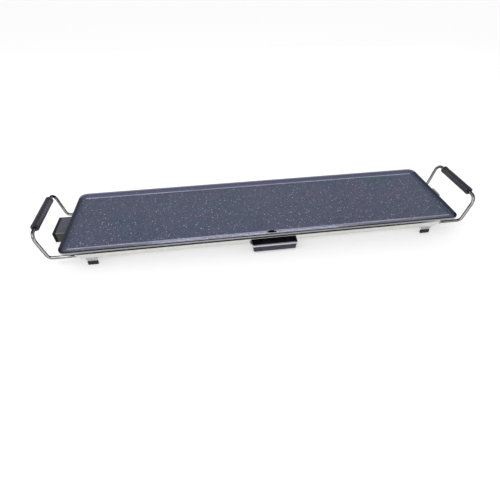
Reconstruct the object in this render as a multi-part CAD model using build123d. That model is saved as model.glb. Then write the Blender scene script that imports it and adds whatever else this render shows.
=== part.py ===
from build123d import *
import os

# Electric plancha grill: a long coated plate on a low stand of two steel rails and two bent rods,
# with a drip drawer under the drain hole and a thermostat socket under the left end.
# Millimetres. The origin is on the table under the middle of the grill, X runs along the plate,
# the drip drawer opens towards -Y and Z is up.

# Cooking plate
plate_length = 900.0
plate_width = 230.0
plate_corner = 17.0
rim_top = 63.6              # height of the rim above the table
rim_crest = 1.5
rim_depth = 5.0
rim_edge_round = 0.7
border_width = 13.5         # sloped border between the rim and the floor
floor_drop = 4.6
floor_thickness = 4.0
floor_corner = 9.0
dish_inset = 2.4            # rim wall left outside the dish under the plate
dish_draft = 2.0

# Drain hole at the foot of the front border
drain_x = 8.0
drain_length = 21.0
drain_width = 10.0
drain_inset = 13.0          # from the plate's front edge to the middle of the hole
spout_wall = 1.5
spout_drop = 3.0

# Tubular heating element
tube_radius = 4.0
run_outer = 72.0            # distance of the outer runs from the middle of the plate
run_inner = 26.0
turn_right_inset = 29.0     # from the end of the plate to the element's turns
turn_left_inset = 94.0
turn_radius = 20.0
lead_radius = 12.0
lead_inset = 38.0           # where the leads cross under the left end
lead_spacing = 28.0
lead_drop = 10.0
lead_end_inset = 14.0
rib_wall = 3.5
rib_run_in = 2.0
rib_depth = 5.0
groove_clearance = 0.1

# Straps that hold the element
strap_shares = (-0.533, 0.044, 0.622)   # of half the plate's length
strap_length = 60.0
strap_width = 12.0
strap_sheet = 1.5
strap_gap = 0.1
strap_boss = 6.0

# Thermostat probe bore
probe_height_drop = 14.0    # bore axis below the underside of the floor
probe_bore = 3.6
sleeve_wall = 0.9
probe_boss_inset = 44.0
probe_boss_length = 40.0
probe_boss_width = 15.0
probe_boss_wall = 2.5
sleeve_fit = 0.05

# Socket hood
hood_reach = 34.0           # of its mouth beyond the end of the plate
hood_length = 66.0
hood_width = 64.0
hood_height = 26.0
hood_sheet = 1.2
hood_bend = 1.6
hood_slots = 3
hood_slot_width = 4.0
hood_slot_length = 30.0
hood_slot_pitch = 11.0
pad_height = 1.0
pad_radius = 5.0
hood_screw_spacing = 40.0
hood_screw_setback = 6.5
bulkhead_setback = 54.0     # from the hood's mouth to the terminal plate
bulkhead_clearance = 0.2
bulkhead_flange_gap = 1.0

# Terminals
pin_radius = 2.25
pin_length = 32.0
pin_root_radius = 1.9       # thinner root in the ceramic ring
pin_shoulder = 1.0          # of the root, bare in front of the ring
bead_radius = 4.2
bead_length = 6.0
bead_chamfer = 0.8
bead_fit = 0.05
lead_clearance = 0.2
earth_sheet = 0.8
earth_height = 8.0
earth_reach = 36.0
earth_offset = 2.2
earth_foot = 5.5

# Lifting tab at the right end
tab_reach = 8.0             # beyond the end of the plate
tab_width = 36.0
tab_stem_width = 26.0
tab_sheet = 1.5
tab_rise = 7.0
tab_inset = 38.0
tab_screw_spacing = 16.0
tab_screw_margin = 1.5
tab_corner = 5.0

# Steel rails
rail_inset = 19.0           # from the end of the plate to the end of a rail
rail_end_slope = 14.0       # the lower edge is this much shorter at each end
rail_bottom = 18.0
rail_height = 13.0
rail_face = 87.2            # distance of the outer face from the middle of the grill
rail_sheet = 1.2
rail_top_lip = 13.2
rail_bottom_lip = 14.2
rail_bend = 1.6
notch_strip = 2.0           # strip left over the drawer
notch_clearance = 0.8
notch_overcut = 1.0

# Bent handle rods
rod_radius = 3.5
rod_height = 26.0
rod_clearance = 0.2
rod_bend_reach = 36.6       # beyond the end of the plate
handle_reach = 49.6
handle_height = 90.4
rod_bend_low = 10.0
rod_bend_high = 18.0
tongue_length = 22.0
tongue_width = 9.0
tongue_thickness = 2.4
tongue_blend = 12.0
tongue_clearance = 0.3

# Moulded grips
grip_length = 109.0
grip_radius = 8.7
grip_neck_radius = 8.0
grip_collar = 8.0
grip_groove = 0.5
grip_ridges = 8
grip_fit = 0.1
grip_round = 1.2

# Leg braces and foot caps
brace_inset = 33.0          # from the end of a rail to the middle of a brace
brace_width = 25.0
brace_foot_width = 19.0
brace_sheet = 1.5
brace_flange = 6.0
brace_step = 0.6            # leg's outer face behind the face of the rail
leg_clearance = 3.0         # leg end above the table
leg_taper_drop = 2.0
cap_height = 9.0
cap_wall = 1.7
cap_fit = 0.1
cap_round = 1.2

# Posts that carry the plate
post_y = 49.0
post_radius = 7.0
post_height = 27.0
post_bore_depth = 11.0
post_pilot_depth = 9.0
post_screw_grip = 8.0
post_chamfer = 1.0
stud_radius = 3.0
stud_clearance = 0.3
stud_reach = 8.0
stud_grip = 6.0
boss_radius = 8.0

# Heat shield
shield_inset = 70.0
shield_sheet = 0.7
shield_clearance = 0.6
ridge_rise = 1.6
ridge_width = 8.0
ridge_spacing = 44.0
ridge_setback = 30.0
vent_row_share = 0.758      # of the shield's length
vent_length = 26.0
vent_width = 5.0
vent_count = 13

# Drip drawer
drawer_x = 17.0
drawer_width = 105.0
drawer_front = 107.0        # distance of the front wall from the middle of the grill
drawer_back = 12.0
drawer_height = 20.0
drawer_wall = 1.6
drawer_draft = 2.0
drawer_corner = 6.0
drawer_rim = 5.0
drawer_rim_height = 4.0
drawer_rim_overhang = 1.4
drawer_gap = 2.4
runner_sheet = 1.2
runner_gap = 0.8
runner_rest_gap = 0.3
runner_ledge = 6.0
runner_flange = 9.0
runner_nose = 9.0
runner_back = 10.0
runner_rivet_inset = 32.0

# Screws and rivets
screw_radius = 1.9
screw_hole = 2.1
screw_head = 3.6
screw_head_height = 2.2
screw_tip_gap = 0.4
screw_past_nut = 0.8
blind_hole = 1.95
cover_thickness = 1.6       # left above a blind hole
nut_width = 7.0
nut_height = 3.2
nut_fit = 0.05
rivet_radius = 1.6
rivet_hole = 1.7
rivet_head = 3.0
rivet_head_height = 1.0
shield_rivet_shares = (-0.71, -0.31, 0.31, 0.71)    # of half the plate's length

# Levels and places that follow from the sizes above
plate_end = plate_length / 2
turn_right = plate_end - turn_right_inset
turn_left = plate_end - turn_left_inset
lead_x = plate_end - lead_inset
lead_end = plate_end - lead_end_inset
strap_xs = [share * plate_end for share in strap_shares]
probe_boss_start = plate_end - probe_boss_inset
hood_end = plate_end + hood_reach
rail_half_length = plate_end - rail_inset
brace_x = rail_half_length - brace_inset
rod_bend_x = plate_end + rod_bend_reach
handle_x = plate_end + handle_reach
shield_half_length = plate_end - shield_inset
shield_rivet_xs = [share * plate_end for share in shield_rivet_shares]
vent_pitch = 2 * shield_half_length * vent_row_share / (vent_count - 1)
rim_bottom = rim_top - rim_depth
floor_top = rim_top - floor_drop
floor_under = floor_top - floor_thickness
screw_tip = floor_top - cover_thickness - screw_tip_gap
tube_height = floor_under - tube_radius
rib_bottom = floor_under - rib_depth
strap_top = tube_height - tube_radius - strap_gap
hood_top = floor_under - pad_height
hood_bottom = hood_top - hood_height
hood_inner_end = hood_end - hood_length
bulkhead_x = hood_end - bulkhead_setback
probe_height = floor_under - probe_height_drop
sleeve_radius = probe_bore + sleeve_wall
lead_y = lead_spacing / 2
lead_height = tube_height - lead_drop
hood_screw_x = hood_inner_end + hood_screw_setback
hood_screw_y = hood_screw_spacing / 2
rail_top = rail_bottom + rail_height
rail_web = rail_face - rail_sheet
rod_y = rail_web - rod_clearance - rod_radius
tongue_y = rail_web - tongue_clearance - tongue_width / 2
lip_under = rail_top - rail_sheet
lip_middle = rail_face - rail_top_lip / 2 - rail_sheet
notch_height = rail_top - notch_strip
drawer_top = notch_height - drawer_gap
drawer_bottom = drawer_top - drawer_height
shield_under = lip_under - shield_sheet
runner_inner = drawer_width / 2 + runner_gap
runner_outer = runner_inner + runner_sheet
runner_bottom = drawer_bottom - runner_rest_gap - runner_sheet
post_top = rail_bottom + post_height
stud_low = post_top - stud_reach


def block(x, y, z):
    """Box between two X, two Y and two Z limits."""
    centre = ((x[0] + x[1]) / 2, (y[0] + y[1]) / 2, (z[0] + z[1]) / 2)
    return Pos(*centre) * Box(x[1] - x[0], y[1] - y[0], z[1] - z[0])


def upright(x, y, z_low, z_high, radius):
    """Vertical cylinder between two heights."""
    return Pos(x, y, (z_low + z_high) / 2) * Cylinder(radius, z_high - z_low)


def lengthwise(y, z, x_low, x_high, radius):
    """Cylinder along X between two X limits."""
    return Pos((x_low + x_high) / 2, y, z) * Rot(0, 90, 0) * Cylinder(radius, x_high - x_low)


def rounded(length, width, radius, z):
    """Rounded rectangle about the middle of the grill at one height."""
    return Plane.XY.offset(z) * RectangleRounded(length, width, radius)


def flipped_x(shape):
    return mirror(shape, about=Plane.YZ)


def flipped_y(shape):
    return mirror(shape, about=Plane.XZ)


def save(shape, name):
    export_step(shape, "parts/" + name + ".step")


def save_group(solids, name):
    export_step(Compound(children=list(solids)), "parts/" + name + ".step")


def pan_screw(x, y, head_low, tip):
    """Pan head screw driven upwards: the head's lower face and the tip give its height."""
    head_high = head_low + screw_head_height
    head = upright(x, y, head_low, head_high, screw_head)
    head = chamfer(head.edges().sort_by(Axis.Z)[0], screw_head_height / 3)
    return head + upright(x, y, head_high, tip, screw_radius)


def rivet(x, y, low, high):
    """Blind rivet that clamps the sheets between two heights."""
    shank = upright(x, y, low, high, rivet_radius)
    upper = upright(x, y, high, high + rivet_head_height, rivet_head)
    upper = chamfer(upper.edges().sort_by(Axis.Z)[-1], rivet_head_height / 2)
    lower = upright(x, y, low - rivet_head_height, low, rivet_head)
    return shank + upper + lower


# Heating element route

def element_points(z, lead_z):
    """Corners of the element from one terminal to the other, for the left end inwards."""
    half = [
        (-lead_end, -lead_y, lead_z),
        (-lead_x, -lead_y, lead_z),
        (-lead_x, -run_outer, z),
        (turn_right, -run_outer, z),
        (turn_right, -run_inner, z),
        (-turn_left, -run_inner, z),
    ]
    return half + [(x, -y, height) for x, y, height in reversed(half)]


def element_radii():
    half = [lead_radius, turn_radius, turn_radius, turn_radius, turn_radius]
    return half + half[::-1]


def element_tube(radius):
    route = FilletPolyline(*element_points(tube_height, lead_height), radius=element_radii())
    start = Plane(origin=route @ 0, z_dir=route % 0)
    return sweep(start * Circle(radius), path=route)


def element_rib():
    """Cast rib that follows the element, without its leads."""
    level = (floor_under + rib_bottom) / 2
    start_x = turn_radius - lead_x + rib_run_in
    corners = element_points(level, level)[3:9]
    corners = [(start_x, -run_outer, level)] + corners + [(start_x, run_outer, level)]
    route = FilletPolyline(*corners, radius=[turn_radius] * 6)
    start = Plane(origin=route @ 0, x_dir=(0, 1, 0), z_dir=route % 0)
    width = 2 * (tube_radius + groove_clearance + rib_wall)
    return sweep(start * Rectangle(width, rib_depth), path=route)


# Plate unit

def strap_places():
    return [(x, side * (run_outer + run_inner) / 2) for x in strap_xs for side in (-1, 1)]


def post_places():
    return [(x, y) for x in (-brace_x, brace_x) for y in (-post_y, post_y)]


def hood_screw_places():
    return [(-hood_screw_x, side * hood_screw_y) for side in (-1, 1)]


def tab_screw_places():
    x = plate_end - tab_inset + pad_radius + tab_screw_margin
    return [(x, side * tab_screw_spacing / 2) for side in (-1, 1)]


def make_plate():
    """Cast plate: sloped border, drain with a spout, element ribs and bosses underneath."""
    floor_inset = rim_crest + border_width
    drain_y = -(plate_width / 2 - drain_inset)
    plate = extrude(rounded(plate_length, plate_width, plate_corner, rim_bottom), rim_depth)
    plate = fillet(plate.faces().sort_by(Axis.Z)[-1].edges(), rim_edge_round)
    foot = 2 * (floor_inset + dish_draft)
    dish = loft([
        rounded(plate_length - foot, plate_width - foot, floor_corner, floor_under),
        rounded(plate_length - 2 * dish_inset, plate_width - 2 * dish_inset,
                plate_corner - dish_inset, rim_bottom),
    ], ruled=True)
    recess = loft([
        rounded(plate_length - 2 * floor_inset, plate_width - 2 * floor_inset, floor_corner, floor_top),
        rounded(plate_length - 2 * rim_crest, plate_width - 2 * rim_crest,
                plate_corner - rim_crest, rim_top),
    ], ruled=True)
    plate = plate + dish - recess
    spout = Pos(drain_x, drain_y) * SlotOverall(drain_length + 2 * spout_wall,
                                                drain_width + 2 * spout_wall)
    plate += extrude(Plane.XY.offset(floor_under - spout_drop) * spout, spout_drop + dish_draft)
    plate += element_rib()
    for x, y in strap_places():
        plate += upright(x, y, strap_top, floor_under, strap_boss)
    for x, y in post_places():
        plate += upright(x, y, post_top, floor_under, boss_radius)
    for x, y in hood_screw_places() + tab_screw_places():
        plate += upright(x, y, hood_top, floor_under, pad_radius)
    boss_end = probe_boss_start - probe_boss_length
    boss_low = probe_height - sleeve_radius - probe_boss_wall
    plate += block((-probe_boss_start, -boss_end),
                   (-probe_boss_width / 2, probe_boss_width / 2), (boss_low, floor_under))
    plate -= element_tube(tube_radius + groove_clearance)
    plate -= lengthwise(0, probe_height, -probe_boss_start, -boss_end, sleeve_radius + sleeve_fit)
    drain = Pos(drain_x, drain_y) * SlotOverall(drain_length, drain_width)
    plate -= extrude(Plane.XY.offset(floor_under - spout_drop) * drain, spout_drop + rim_top)
    for x, y in strap_places():
        plate -= upright(x, y, strap_top, floor_top - cover_thickness, blind_hole)
    for x, y in hood_screw_places() + tab_screw_places():
        plate -= upright(x, y, hood_top, floor_top - cover_thickness, blind_hole)
    for x, y in post_places():
        plate -= upright(x, y, post_top, post_top + stud_grip, stud_radius + sleeve_fit)
    return plate


def make_straps():
    """Flat straps across two runs of the element each."""
    straps = []
    for x, y in strap_places():
        strap = Pos(x, y, strap_top - strap_sheet / 2) * Box(strap_width, strap_length, strap_sheet)
        strap = fillet(strap.edges().filter_by(Axis.Z), strap_width / 3)
        straps.append(strap - upright(x, y, strap_top - strap_sheet, strap_top, screw_hole))
    return straps


def make_strap_screws():
    head_low = strap_top - strap_sheet - screw_head_height
    return [pan_screw(x, y, head_low, screw_tip) for x, y in strap_places()]


def make_sleeve():
    """Thin tube that guides the thermostat's probe into the plate."""
    inner_end = probe_boss_start - probe_boss_length
    tube = lengthwise(0, probe_height, -bulkhead_x - hood_sheet, -inner_end, sleeve_radius)
    return tube - lengthwise(0, probe_height, -bulkhead_x - hood_sheet, -inner_end, probe_bore)


def make_hood():
    """Sheet hood round the socket, open at both ends."""
    shell = block((-hood_end, -hood_inner_end), (-hood_width / 2, hood_width / 2), (hood_bottom, hood_top))
    shell = fillet(shell.edges().filter_by(Axis.X), hood_bend)
    high = hood_top - hood_sheet
    half = hood_width / 2 - hood_sheet
    hood = shell - block((-hood_end, -hood_inner_end), (-half, half), (hood_bottom + hood_sheet, high))
    middle = -(hood_end + hood_inner_end) / 2
    for i in range(hood_slots):
        y = (i - (hood_slots - 1) / 2) * hood_slot_pitch
        slot = Pos(middle, y) * SlotOverall(hood_slot_length, hood_slot_width)
        hood -= extrude(Plane.XY.offset(hood_bottom) * slot, hood_sheet)
    for x, y in hood_screw_places():
        hood -= upright(x, y, high, hood_top, screw_hole)
    return hood


def make_bulkhead():
    """Terminal plate across the hood, with a flange that the hood screws hold."""
    half = hood_width / 2 - hood_sheet - bulkhead_clearance
    low = hood_bottom + hood_sheet + bulkhead_clearance
    high = hood_top - hood_sheet
    plate = block((-bulkhead_x - hood_sheet, -bulkhead_x), (-half, half), (low, high))
    plate += block((-bulkhead_x, -hood_inner_end - bulkhead_flange_gap), (-half, half),
                   (high - hood_sheet, high))
    for side in (-1, 1):
        plate -= lengthwise(side * lead_y, lead_height, -bulkhead_x - hood_sheet, -bulkhead_x,
                            tube_radius + lead_clearance)
    plate -= lengthwise(0, probe_height, -bulkhead_x - hood_sheet, -bulkhead_x,
                        sleeve_radius + sleeve_fit)
    for x, y in hood_screw_places():
        plate -= upright(x, y, high - hood_sheet, high, screw_hole)
    return plate


def make_hood_screws():
    head_low = hood_top - 2 * hood_sheet - screw_head_height
    return [pan_screw(x, y, head_low, screw_tip) for x, y in hood_screw_places()]


def make_pins():
    pins = []
    for side in (-1, 1):
        shoulder = -lead_end - bead_length - pin_shoulder
        pin = lengthwise(side * lead_y, lead_height, -lead_end - pin_length, shoulder, pin_radius)
        pin = fillet(pin.edges().sort_by(Axis.X)[0], pin_radius * 0.6)
        pins.append(pin + lengthwise(side * lead_y, lead_height, shoulder, -lead_end, pin_root_radius))
    return pins


def make_beads():
    """Ceramic rings on the element's ends, round the pins."""
    beads = []
    for side in (-1, 1):
        bead = lengthwise(side * lead_y, lead_height, -lead_end - bead_length, -lead_end, bead_radius)
        bead = chamfer(bead.edges().sort_by(Axis.X)[0], bead_chamfer)
        bore = lengthwise(side * lead_y, lead_height, -lead_end - bead_length, -lead_end,
                          pin_root_radius + bead_fit)
        beads.append(bead - bore)
    return beads


def make_earth_blades():
    """Bent earthing strips beside the pins, on the terminal plate."""
    inner_wall = hood_width / 2 - hood_sheet
    face = -bulkhead_x - hood_sheet
    low = lead_height - earth_height / 2
    outer = inner_wall - earth_offset
    foot = block((face - earth_sheet, face), (outer - earth_foot, outer), (low, low + earth_height))
    blade = block((face - earth_reach, face), (outer - earth_sheet, outer), (low, low + earth_height))
    tip = blade.edges().filter_by(Axis.Y).sort_by(Axis.X)[:2]
    strip = chamfer(tip, earth_height / 4) + foot
    return [strip, flipped_y(strip)]


def make_tab():
    """Bent tab on the right end of the plate, turned up beyond the rim."""
    end = plate_end + tab_reach
    start = plate_end - tab_inset
    low = hood_top - tab_sheet
    wide = plate_end - border_width / 2
    sheet = block((start, wide), (-tab_stem_width / 2, tab_stem_width / 2), (low, hood_top))
    sheet += block((wide, end), (-tab_width / 2, tab_width / 2), (low, hood_top))
    rise = block((end - tab_sheet, end), (-tab_width / 2, tab_width / 2), (low, hood_top + tab_rise))
    corners = rise.edges().filter_by(Axis.X).sort_by(Axis.Z)[-2:]
    sheet += fillet(corners, tab_corner)
    for x, y in tab_screw_places():
        sheet -= upright(x, y, low, hood_top, screw_hole)
    return sheet


def make_tab_screws():
    head_low = hood_top - tab_sheet - screw_head_height
    return [pan_screw(x, y, head_low, screw_tip) for x, y in tab_screw_places()]


def make_studs():
    """Locating studs under the plate, which drop into the posts."""
    studs = []
    for x, y in post_places():
        stud = upright(x, y, stud_low, post_top + stud_grip, stud_radius)
        studs.append(chamfer(stud.edges().sort_by(Axis.Z)[0], stud_radius / 3))
    return studs


# Stand

def rail_section():
    """Rail's C section, seen along X, for the rail on the +Y side."""
    top_end = rail_face - rail_top_lip
    bottom_end = rail_face - rail_bottom_lip
    outline = Polyline(
        (rail_face, rail_bottom), (bottom_end, rail_bottom), (bottom_end, rail_bottom + rail_sheet),
        (rail_web, rail_bottom + rail_sheet), (rail_web, lip_under), (top_end, lip_under),
        (top_end, rail_top), (rail_face, rail_top), close=True)
    face = Plane.YZ * make_face(outline)
    bends = face.vertices().sort_by(Axis.Y)[-2:]
    return fillet(bends, rail_bend)


def make_rear_rail():
    rail = extrude(rail_section(), rail_half_length, both=True)
    short = rail_half_length - rail_end_slope
    side = Polyline((-short, rail_bottom), (short, rail_bottom), (rail_half_length, rail_top),
                    (-rail_half_length, rail_top), close=True)
    rail = rail & extrude(Plane.XZ * make_face(side), rail_face, both=True)
    for x in (-brace_x, brace_x):
        rail -= upright(x, tongue_y, rail_bottom, rail_bottom + rail_sheet, screw_hole)
    for x in shield_rivet_xs:
        rail -= upright(x, lip_middle, lip_under, rail_top, rivet_hole)
    return rail


def make_front_rail():
    rail = flipped_y(make_rear_rail())
    half = drawer_width / 2 + notch_clearance
    rail -= block((drawer_x - half, drawer_x + half), (-rail_face, -rail_web + notch_overcut),
                  (rail_bottom, notch_height))
    ledge = runner_outer + runner_gap
    rail -= block((drawer_x - ledge, drawer_x + ledge), (-rail_web, -rail_face + rail_bottom_lip),
                  (rail_bottom, rail_bottom + rail_sheet))
    for side in (-1, 1):
        x = drawer_x + side * (runner_outer + runner_flange / 2)
        rail -= upright(x, -lip_middle, lip_under, rail_top, rivet_hole)
    return rail


def make_right_rod():
    """Rod with two flattened ends inside the rails, bent up into the handle."""
    blend_start = brace_x + tongue_length / 2
    blend_end = blend_start + tongue_blend
    route = FilletPolyline(
        (blend_end, -rod_y, rod_height), (rod_bend_x, -rod_y, rod_height),
        (handle_x, -rod_y, handle_height), (handle_x, rod_y, handle_height),
        (rod_bend_x, rod_y, rod_height), (blend_end, rod_y, rod_height),
        radius=[rod_bend_low, rod_bend_high, rod_bend_high, rod_bend_low])
    rod = sweep(Plane(origin=route @ 0, z_dir=route % 0) * Circle(rod_radius), path=route)
    low = rail_bottom + rail_sheet
    middle = low + tongue_thickness / 2
    flat = Plane.YZ.offset(blend_start) * Pos(tongue_y, middle)
    flat = flat * RectangleRounded(tongue_width, tongue_thickness, tongue_thickness * 0.4)
    round_end = Plane.YZ.offset(blend_end) * Pos(rod_y, rod_height) * Circle(rod_radius)
    tongue = loft([flat, round_end]) + extrude(flat, -tongue_length)
    tongue -= upright(brace_x, tongue_y, low, low + tongue_thickness, screw_hole)
    return rod + tongue + flipped_y(tongue)


def make_right_grip():
    """Ribbed sleeve on the top run of the rod."""
    half = grip_length / 2
    ridge_span = (grip_length - 2 * grip_collar) / grip_ridges
    notch = ridge_span / 8
    outline = [(half, rod_radius + grip_fit), (half, grip_radius), (half - grip_collar, grip_radius)]
    for i in range(grip_ridges):
        start = half - grip_collar - i * ridge_span
        end = start - ridge_span
        outline += [(start - notch, grip_neck_radius), (start - 2 * notch, grip_neck_radius + grip_groove),
                    (end + notch, grip_neck_radius + grip_groove)]
    outline += [(grip_collar - half, grip_neck_radius), (grip_collar - half, grip_radius),
                (-half, grip_radius), (-half, rod_radius + grip_fit)]
    profile = make_face(Polyline(*[(radius, along) for along, radius in outline], close=True))
    grip = revolve(profile, Axis.Y)
    rims = [edge for edge in grip.edges().filter_by(GeomType.CIRCLE)
            if abs(edge.radius - grip_radius) < 0.01 and abs(abs(edge.arc_center.Y) - half) < 0.01]
    grip = fillet(rims, grip_round)
    return Pos(handle_x, 0, handle_height) * grip


def make_right_brace():
    """Pressed cross member with a leg at each end."""
    half = brace_width / 2
    leg_face = rail_face - brace_step
    web_low = rail_bottom - brace_sheet
    brace = block((-half, half), (-leg_face, leg_face), (web_low, rail_bottom))
    flange_end = leg_face - brace_flange
    for side in (-1, 1):
        x = (side * half - side * brace_sheet, side * half)
        brace += block((min(x), max(x)), (-flange_end, flange_end), (rail_bottom - brace_flange, web_low))
        leg = Polyline((-half, rail_bottom), (half, rail_bottom), (half, web_low - leg_taper_drop),
                       (brace_foot_width / 2, cap_height), (brace_foot_width / 2, leg_clearance),
                       (-brace_foot_width / 2, leg_clearance), (-brace_foot_width / 2, cap_height),
                       (-half, web_low - leg_taper_drop), close=True)
        plane = Plane.XZ.offset(-side * leg_face)
        brace += extrude(plane * make_face(leg), side * brace_sheet)
        brace -= upright(0, side * tongue_y, web_low, rail_bottom, screw_hole)
        brace -= upright(0, side * post_y, web_low, rail_bottom, screw_hole)
    bends = brace.edges().filter_by(Axis.X).filter_by_position(Axis.Z, rail_bottom - 0.01, rail_bottom + 0.01)
    return Pos(brace_x) * fillet(bends, brace_sheet * 0.8)


def make_front_right_cap():
    """Foot cap pushed over the end of a leg."""
    middle_y = -(rail_face - brace_step - brace_sheet / 2)
    thickness = brace_sheet + 2 * cap_fit
    width = brace_foot_width + 2 * cap_fit
    cap = Pos(brace_x, middle_y, cap_height / 2) * Box(
        width + 2 * cap_wall, thickness + 2 * cap_wall, cap_height)
    cap = fillet(cap.edges().filter_by(Axis.Z), cap_round)
    cap = chamfer(cap.faces().sort_by(Axis.Z)[0].edges(), cap_round / 2)
    slot = Pos(brace_x, middle_y, (leg_clearance + cap_height) / 2) * Box(
        width, thickness, cap_height - leg_clearance)
    return cap - slot


def make_posts():
    """Insulating posts on the braces, with a bore for the plate's stud."""
    posts = []
    for x, y in post_places():
        post = upright(x, y, rail_bottom, post_top, post_radius)
        post = chamfer(post.edges().sort_by(Axis.Z)[-1], post_chamfer)
        post -= upright(x, y, post_top - post_bore_depth, post_top, stud_radius + stud_clearance)
        posts.append(post - upright(x, y, rail_bottom, rail_bottom + post_pilot_depth, blind_hole))
    return posts


def make_post_screws():
    head_low = rail_bottom - brace_sheet - screw_head_height
    return [pan_screw(x, y, head_low, rail_bottom + post_screw_grip) for x, y in post_places()]


def frame_screw_places():
    return [(x, y) for x in (-brace_x, brace_x) for y in (-tongue_y, tongue_y)]


def make_frame_screws():
    """Screws through brace, rail and rod end."""
    head_low = rail_bottom - brace_sheet - screw_head_height
    tip = rail_bottom + rail_sheet + tongue_thickness + nut_height + screw_past_nut
    return [pan_screw(x, y, head_low, tip) for x, y in frame_screw_places()]


def make_frame_nuts():
    nuts = []
    low = rail_bottom + rail_sheet + tongue_thickness
    for x, y in frame_screw_places():
        nut = extrude(Plane.XY.offset(low) * Pos(x, y) * RegularPolygon(nut_width / 2, 6, major_radius=False),
                      nut_height)
        nuts.append(nut - upright(x, y, low, low + nut_height, screw_radius + nut_fit))
    return nuts


def shield_rivet_places():
    return [(x, side * lip_middle) for side in (-1, 1) for x in shield_rivet_xs]


def runner_rivet_places():
    rear_y = -runner_back - runner_rivet_inset
    offset = runner_outer + runner_flange / 2
    return [(drawer_x + side * offset, y) for side in (-1, 1) for y in (-lip_middle, rear_y)]


def make_heat_shield():
    """Sheet under the element, hung below the rails' top lips, with pressed ridges and vents."""
    half_width = rail_web - shield_clearance
    shield = block((-shield_half_length, shield_half_length), (-half_width, half_width),
                   (shield_under, lip_under))
    for side in (-1, 1):
        y = side * ridge_spacing / 2
        ridge = Polyline((y - ridge_width / 2, lip_under), (y - ridge_width / 4, lip_under + ridge_rise),
                         (y + ridge_width / 4, lip_under + ridge_rise), (y + ridge_width / 2, lip_under))
        hollow = Polyline((y - ridge_width / 2 + shield_sheet, shield_under),
                          (y - ridge_width / 4 + shield_sheet / 3, lip_under + ridge_rise - shield_sheet),
                          (y + ridge_width / 4 - shield_sheet / 3, lip_under + ridge_rise - shield_sheet),
                          (y + ridge_width / 2 - shield_sheet, shield_under))
        reach = shield_half_length - ridge_setback
        for line, sign in ((ridge, 1), (hollow, -1)):
            face = Plane.YZ * make_face(line + Line(line @ 1, line @ 0))
            pressed = extrude(face, reach, both=True)
            shield = shield + pressed if sign > 0 else shield - pressed
        for i in range(vent_count):
            x = (i - (vent_count - 1) / 2) * vent_pitch
            slot = Pos(x, side * (ridge_spacing / 2 + ridge_width)) * SlotOverall(vent_length, vent_width)
            shield -= extrude(Plane.XY.offset(shield_under) * slot, shield_sheet)
    for x, y in shield_rivet_places() + runner_rivet_places():
        shield -= upright(x, y, shield_under, lip_under, rivet_hole)
    return shield


def make_shield_rivets():
    return [rivet(x, y, shield_under, rail_top) for x, y in shield_rivet_places()]


def make_right_runner():
    """Bent sheet track under one side of the drawer."""
    top = shield_under
    front = -rail_web + shield_clearance
    outline = Polyline(
        (runner_inner - runner_ledge, runner_bottom), (runner_outer, runner_bottom),
        (runner_outer, top - runner_sheet), (runner_outer + runner_flange, top - runner_sheet),
        (runner_outer + runner_flange, top), (runner_inner, top),
        (runner_inner, runner_bottom + runner_sheet),
        (runner_inner - runner_ledge, runner_bottom + runner_sheet), close=True)
    section = Plane.XZ.offset(runner_back) * Pos(drawer_x) * make_face(outline)
    runner = extrude(section, -front - runner_back)
    nose = Polyline((front, runner_bottom), (front + runner_nose, runner_bottom),
                    (front, runner_bottom + runner_nose), close=True)
    cut = extrude(Plane.YZ.offset(drawer_x) * make_face(nose), runner_outer)
    runner -= cut
    for x, y in runner_rivet_places():
        if x > drawer_x:
            runner -= upright(x, y, top - runner_sheet, top, rivet_hole)
    return runner


def make_left_runner():
    return mirror(make_right_runner(), about=Plane.YZ.offset(drawer_x))


def make_runner_rivets():
    rivets = []
    for x, y in runner_rivet_places():
        high = rail_top if y == -lip_middle else lip_under
        rivets.append(rivet(x, y, shield_under - runner_sheet, high))
    return rivets


def make_drawer():
    """Open drip drawer with drafted walls and a thick rounded front rim to pull on."""
    depth = drawer_front - drawer_back
    middle = -(drawer_front + drawer_back) / 2
    wall = 2 * drawer_wall

    def level(width, length, radius, z):
        return Plane.XY.offset(z) * Pos(drawer_x, middle) * RectangleRounded(width, length, radius)

    foot = 2 * drawer_draft
    outer = loft([
        level(drawer_width - foot, depth - foot, drawer_corner - drawer_draft, drawer_bottom),
        level(drawer_width, depth, drawer_corner, drawer_top),
    ], ruled=True)
    inner = loft([
        level(drawer_width - foot - wall, depth - foot - wall,
              drawer_corner - drawer_draft - drawer_wall, drawer_bottom + drawer_wall),
        level(drawer_width - wall, depth - wall, drawer_corner - drawer_wall, drawer_top),
    ], ruled=True)
    rim_y = (-drawer_front - drawer_rim_overhang, -drawer_front - drawer_rim_overhang + drawer_rim)
    rim = block((drawer_x - drawer_width / 2, drawer_x + drawer_width / 2), rim_y,
                (drawer_top - drawer_rim_height, drawer_top))
    rim = fillet(rim.edges().filter_by(Axis.X), drawer_rim * 0.36)
    rim = fillet(rim.edges().filter_by(Axis.Z), drawer_rim * 0.2)
    return outer - inner + rim


os.makedirs("parts", exist_ok=True)

save(make_plate(), "grill_plate")
save(element_tube(tube_radius), "heating_element")
save_group(make_straps(), "element_straps")
save_group(make_strap_screws(), "strap_screws")
save(make_sleeve(), "probe_sleeve")
save(make_hood(), "socket_hood")
save(make_bulkhead(), "terminal_plate")
save_group(make_hood_screws(), "hood_screws")
save_group(make_pins(), "terminal_pins")
save_group(make_beads(), "terminal_beads")
save_group(make_earth_blades(), "earth_blades")
save(make_tab(), "lifting_tab")
save_group(make_tab_screws(), "tab_screws")
save_group(make_studs(), "locating_studs")

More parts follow.
